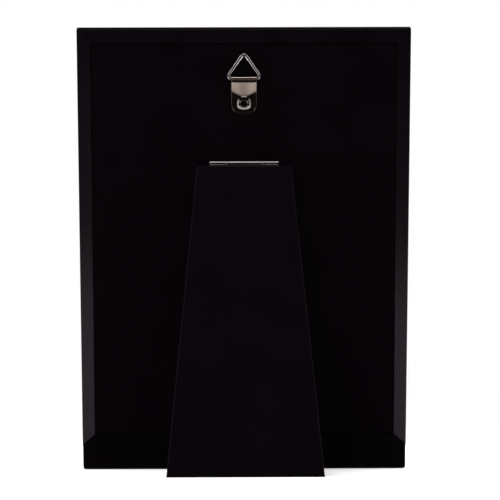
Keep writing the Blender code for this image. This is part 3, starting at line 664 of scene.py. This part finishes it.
def add_eyelet():
    """The hollow rivet: a rolled flange, a barrel and a clinched end, one closed profile turned about y."""
    hole, barrel, flange, clinch = 1.7 * MM, 2.1 * MM, 3.6 * MM, 3.1 * MM
    seat, front = 1.3 * MM, -1.9 * MM
    crown, rim, crown_lift, rim_lift = 0.30 * MM, 0.38 * MM, 0.45 * MM, 0.30 * MM
    under, clinch_sheet, slope = 0.02 * MM, 0.35 * MM, math.radians(6.2)
    inner = arc(crown, math.pi, math.pi / 2 - slope, 10, (hole + crown, seat + crown_lift))
    outer = arc(rim, math.pi / 2 - slope, -math.pi / 3, 12, (flange - rim, seat + rim_lift))
    shank = np.array([(barrel, seat - under), (barrel, front + clinch_sheet), (clinch, front + clinch_sheet),
                      (clinch, front), (hole, front)])
    points, faces = revolve(np.concatenate([inner, outer, shank]), 72, True)
    add_piece("rolled_hanger_eyelet", (on_panel(points + [0.0, 0.0, -EYELET_DROP]), faces), TURNED, "back",
              ["hanger_eyelet"])


def add_ring():
    """The triangular ring: a wire round three corners, its two ends butted inside the strap's roll."""
    corner, apex, wire_end = 1.6 * MM, 1.3 * MM, 0.95 * MM
    foot_steps, corner_steps, side_steps = 12, 20, 8
    corner_x = RING_WIDTH / 2 - WIRE_RADIUS - corner
    apex_z = RING_RISE - WIRE_RADIUS - apex
    rise = apex_z - corner
    tilt = math.atan2(corner_x, rise) + math.asin((apex - corner) / math.hypot(corner_x, rise))
    run = np.linspace(wire_end, corner_x, foot_steps)[:-1]
    right = np.concatenate([np.stack([run, 0 * run], axis=-1),
                            arc(corner, -math.pi / 2, tilt, corner_steps, (corner_x, corner))])
    top = arc(apex, tilt, math.pi - tilt, corner_steps, (0.0, apex_z))
    left = right[::-1] * [-1, 1]
    share = np.linspace(0, 1, side_steps)[1:-1, None]
    rise_right = right[-1] * (1 - share) + top[0] * share
    rise_left = top[-1] * (1 - share) + left[0] * share
    path = np.concatenate([right, rise_right, top, rise_left, left])
    points, faces = wire(path, WIRE_RADIUS)
    add_piece("bent_hanger_ring", (on_panel(points + [0.0, LOOP_STANDOFF, 0.0]), faces), WIRE, "ring",
              ["hanger_ring"])


def dress_kept_nodes():
    """The solids whose shape is right as they are get their real materials."""
    kept = {"glass_pane": GLASS, "photo_sheet": PRINT, "filler_card": CARD, "hanger_washer": DRAWN}
    for name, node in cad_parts.items():
        material = DRAWN if name.startswith("corner_nail") else kept.get(name)
        if material:
            node.data.materials.clear()
            node.data.materials.append(material)


# Studio

def stage_piece(name, points, faces, material, rays=()):
    """A floor or a card of the studio; with rays given, only those kinds of ray see it."""
    mesh = bpy.data.meshes.new(name)
    mesh.from_pydata(np.asarray(points).tolist(), [], np.asarray(faces).tolist())
    mesh.materials.append(material)
    piece = bpy.data.objects.new(name, mesh)
    bpy.context.scene.collection.objects.link(piece)
    if rays:
        for kind in ("camera", "diffuse", "glossy", "transmission", "volume_scatter", "shadow"):
            setattr(piece, "visible_" + kind, kind in rays)
    return piece


def seen_rays(tree):
    """One for the rays that show a background: those of the camera, of reflections and through glass."""
    path = add_node(tree, "ShaderNodeLightPath")
    seen = path.outputs["Is Camera Ray"]
    for kind in ("Is Glossy Ray", "Is Transmission Ray"):
        either = add_node(tree, "ShaderNodeMath", None, {0: seen, 1: path.outputs[kind]}, operation="MAXIMUM")
        seen = either.outputs[0]
    return seen


def add_floor():
    """A pale floor: it keeps the object's shadow near it, and runs out into plain white."""
    reach, white_from, white_by = 6.0, 0.22, 0.85
    material, tree, shader = new_material("pale_studio_floor", {
        "Base Color": linear("#f2f2f0"), "Roughness": 0.9, "Specular IOR Level": 0.0,
        "Emission Color": (1.0, 1.0, 1.0, 1.0)})
    place = add_node(tree, "ShaderNodeTexCoord")
    distance = add_node(tree, "ShaderNodeVectorMath", None, {0: place.outputs["Object"]}, operation="LENGTH")
    far = add_node(tree, "ShaderNodeMapRange", {"From Min": white_from, "From Max": white_by},
                   {"Value": distance.outputs["Value"]}, interpolation_type="SMOOTHSTEP")
    seen = seen_rays(tree)
    seen_far = add_node(tree, "ShaderNodeMath", None, {0: seen, 1: far.outputs["Result"]},
                        operation="MULTIPLY")
    lift = add_node(tree, "ShaderNodeMath", {1: FLOOR_LIFT}, {0: seen}, operation="MULTIPLY")
    tree.links.new(lift.outputs[0], shader.inputs["Emission Strength"])
    white = add_node(tree, "ShaderNodeEmission")
    mix = add_node(tree, "ShaderNodeMixShader", None, {
        0: seen_far.outputs[0], 1: shader.outputs["BSDF"], 2: white.outputs["Emission"]})
    tree.links.new(mix.outputs["Shader"], tree.nodes["Material Output"].inputs["Surface"])
    corners = [(-reach, -reach, 0.0), (reach, -reach, 0.0), (reach, reach, 0.0), (-reach, reach, 0.0)]
    stage_piece("studio_floor", corners, [(0, 1, 2, 3)], material)


def ease(value, low, high):
    """A smooth step from nought at low to one at high: t squared times (3 - 2 t)."""
    t = np.clip((value - low) / (high - low), 0, 1)
    return t * t * (3 - 2 * t)


def window(value, low, high, soft):
    """One between low and high, with soft edges."""
    return ease(value, low - soft, low + soft) * (1 - ease(value, high - soft, high + soft))


def card_material():
    """A card that glows as bright as its points say."""
    material = bpy.data.materials.new("studio_cards")
    material.use_nodes = True
    tree = material.node_tree
    tree.nodes.remove(tree.nodes["Principled BSDF"])
    shade = add_node(tree, "ShaderNodeAttribute", attribute_name="brightness")
    glow = add_node(tree, "ShaderNodeEmission", {"Strength": 1.0}, {"Color": shade.outputs["Color"]})
    tree.links.new(glow.outputs["Emission"], tree.nodes["Material Output"].inputs["Surface"])
    return material


def add_card(name, points, quads, light, material):
    """A card that only reflections see, with its brightness at each point."""
    card = stage_piece(name, points.reshape(-1, 3), quads, material, ("glossy",))
    values = np.stack([light, light, light, 0 * light + 1], axis=-1).reshape(-1, 4)
    layer = card.data.attributes.new("brightness", "FLOAT_COLOR", "POINT")
    layer.data.foreach_set("color", values.ravel())


def add_flags(material):
    """Black flags on a dome round the set, as metal and black foil see them, with a soft box above the back
    and a weaker one at each side. Angles are degrees, round from the back's direction or up from the table: a
    fade is (from, by) and a band is (low edge, high edge, softness)."""
    turn_step, rise_step = 3, 2
    flag_light, upper_light, upper_fade = 0.003, 0.014, (24, 40)
    above_fade, above_band = (32, 48), (46, 58, 3)
    side_band, side_height, side_share = (66, 100, 6), (10, 38, 5), 0.6
    azimuth, rise = np.radians(np.meshgrid(np.arange(0, 360, turn_step), np.arange(0, 91, rise_step)))
    dome = STUDIO_REACH * np.stack([
        np.cos(azimuth) * np.cos(rise), np.sin(azimuth) * np.cos(rise), np.sin(rise)], axis=-1)
    from_back = np.degrees(np.abs((azimuth - math.pi / 2 + math.pi) % (2 * math.pi) - math.pi))
    up = np.degrees(rise)
    above = (1 - ease(from_back, *above_fade)) * window(up, *above_band)
    at_sides = side_share * window(from_back, *side_band) * window(up, *side_height)
    light = flag_light + upper_light * ease(up, *upper_fade) + SOFT_BOX_LIGHT * np.maximum(above, at_sides)
    add_card("studio_flags", dome, grid_quads(*dome.shape[:2], False, True), light, material)


def add_table_card(material):
    """How bright the table looks to metal and foil, on a card just above the floor: a pool of light round the
    frame and a paler one beyond it, less the frame's shadow and the dark far behind it. Glows are added where
    the strap's slope, the eyelet's flange and, in two places, the bevelled strips look. Lengths are metres
    from the table's middle: a fade is (from, by) and a band is (low edge, high edge, softness)."""
    fine, back, height = 0.11, 0.40, 0.0005
    coarse_steps, across_steps, back_steps, step_out = 30, 45, 103, 0.01
    least, pool_light, pool_fade = 0.002, 0.44, (0.20, 0.34)
    outer_light, outer_tilt, outer_fade = 0.075, 0.35, (0.40, 0.75)
    slope_light, slope_gain, slope_spread = 0.07, 0.24, (0.010, 0.075)
    slope_fade, slope_band = (0.11, 0.15), (0.235, 0.30, 0.015)
    eyelet_light, eyelet_tilt = 0.34, 0.12
    eyelet_aside, eyelet_band = (0.073, 0.13, 0.006), (0.30, 0.50, 0.02)
    far_light, far_aside, far_band = 0.8, (0.58, 1.0, 0.05), (-0.25, 0.24, 0.06)
    near_light, near_aside, near_slant = 3.6, (0.19, 0.27, 0.01), (0.19, 0.30, 0.01)
    shadow_half, shadow_flare, flare_from, flare_reach = 0.092, 0.5, 0.02, 0.13
    shadow_soft, shadow_band, shadow_share = 0.012, (-0.075, 0.230, 0.012), 0.99
    dark_aside, dark_fade, dark_share = (0.10, 0.16), (0.295, 0.345), 0.97

    coarse = np.geomspace(fine + step_out, STUDIO_REACH, coarse_steps)
    x, y = np.meshgrid(
        np.concatenate([-coarse[::-1], np.linspace(-fine, fine, across_steps), coarse]),
        np.concatenate([-coarse[::-1], np.linspace(-fine, back, back_steps),
                        np.geomspace(back + step_out, STUDIO_REACH, coarse_steps)]))
    aside, reach = np.abs(x), np.hypot(x, y)
    pool = pool_light * (1 - ease(reach, *pool_fade))
    outer = outer_light * (1 + np.clip(x, -outer_tilt, outer_tilt)) * (1 - ease(reach, *outer_fade))
    slope_glow = slope_light + slope_gain * ease(aside, *slope_spread)
    slope_glow = slope_glow * (1 - ease(aside, *slope_fade)) * window(y, *slope_band)
    far_glow = far_light * window(aside, *far_aside) * window(y, *far_band)
    near_glow = near_light * window(aside, *near_aside) * window(aside - y, *near_slant)
    eyelet_glow = window(aside, *eyelet_aside) * window(y, *eyelet_band)
    eyelet_glow = eyelet_glow * (eyelet_light + eyelet_tilt * np.sign(x))
    half = shadow_half + shadow_flare * np.clip(y - flare_from, 0, flare_reach)
    shadow = (1 - ease(aside - half, -shadow_soft, shadow_soft)) * window(y, *shadow_band)
    dark = (1 - ease(aside, *dark_aside)) * ease(y, *dark_fade)
    light = (least + pool + outer + slope_glow + far_glow + near_glow) * (1 - shadow_share * shadow)
    light = light * (1 - dark_share * dark) + eyelet_glow
    add_card("studio_table_card", np.stack([x, y, 0 * x + height], axis=-1), grid_quads(*x.shape), light,
             material)


def add_lamp(name, place, width, height, power):
    """A soft box that faces the frame and lights it without being mirrored in it."""
    data = bpy.data.lights.new(name, "AREA")
    data.shape = "RECTANGLE"
    data.size = width
    data.size_y = height
    data.energy = power
    lamp = bpy.data.objects.new(name, data)
    lamp.visible_glossy = False
    lamp.visible_transmission = False
    lamp.location = place
    lamp.rotation_mode = "QUATERNION"
    lamp.rotation_quaternion = (Vector(LAMP_TARGET) - Vector(place)).to_track_quat("-Z", "Y")
    bpy.context.scene.collection.objects.link(lamp)


def add_world():
    """A white surround for the camera, metal and glass, and an even fill for everything else."""
    world = bpy.data.worlds.new("studio_surround")
    bpy.context.scene.world = world
    world.use_nodes = True
    tree = world.node_tree
    background = tree.nodes["Background"]
    level = add_node(tree, "ShaderNodeMapRange", {"To Min": WORLD_FILL, "To Max": 1.0},
                     {"Value": seen_rays(tree)})
    background.inputs["Color"].default_value = (1.0, 1.0, 1.0, 1.0)
    tree.links.new(level.outputs["Result"], background.inputs["Strength"])


def add_camera():
    """The photograph's viewpoint: level with the foot of the frame, about a metre and a half behind it."""
    aside, behind, height = 0.01017, 1.50005, 0.06593
    yaw, pitch, roll = (math.radians(angle) for angle in (-0.514, 1.752, -0.182))
    ahead = Vector((math.sin(yaw) * math.cos(pitch), -math.cos(yaw) * math.cos(pitch), math.sin(pitch)))
    flat_right = ahead.cross(Vector((0.0, 0.0, 1.0))).normalized()
    flat_up = flat_right.cross(ahead)
    right = flat_right * math.cos(roll) + flat_up * math.sin(roll)
    up = flat_up * math.cos(roll) - flat_right * math.sin(roll)
    data = bpy.data.cameras.new("photo_camera")
    data.sensor_width = 36.0
    data.lens = 210.8
    data.clip_end = 50.0
    camera = bpy.data.objects.new("photo_camera", data)
    turn = Matrix((right, up, -ahead)).transposed()
    camera.matrix_world = Matrix.Translation((aside, behind - MIDDLE, height)) @ turn.to_4x4()
    bpy.context.scene.collection.objects.link(camera)
    bpy.context.scene.camera = camera


add_camera()
add_rails()
add_bottom_rail()
add_back_board()
add_leg()
add_hinge()
add_strap()
add_eyelet()
add_ring()
dress_kept_nodes()
add_floor()
STUDIO_CARDS = card_material()
add_flags(STUDIO_CARDS)
add_table_card(STUDIO_CARDS)
add_world()
for lamp_values in LAMPS:
    add_lamp(*lamp_values)
bpy.context.scene.view_settings.view_transform = "Standard"
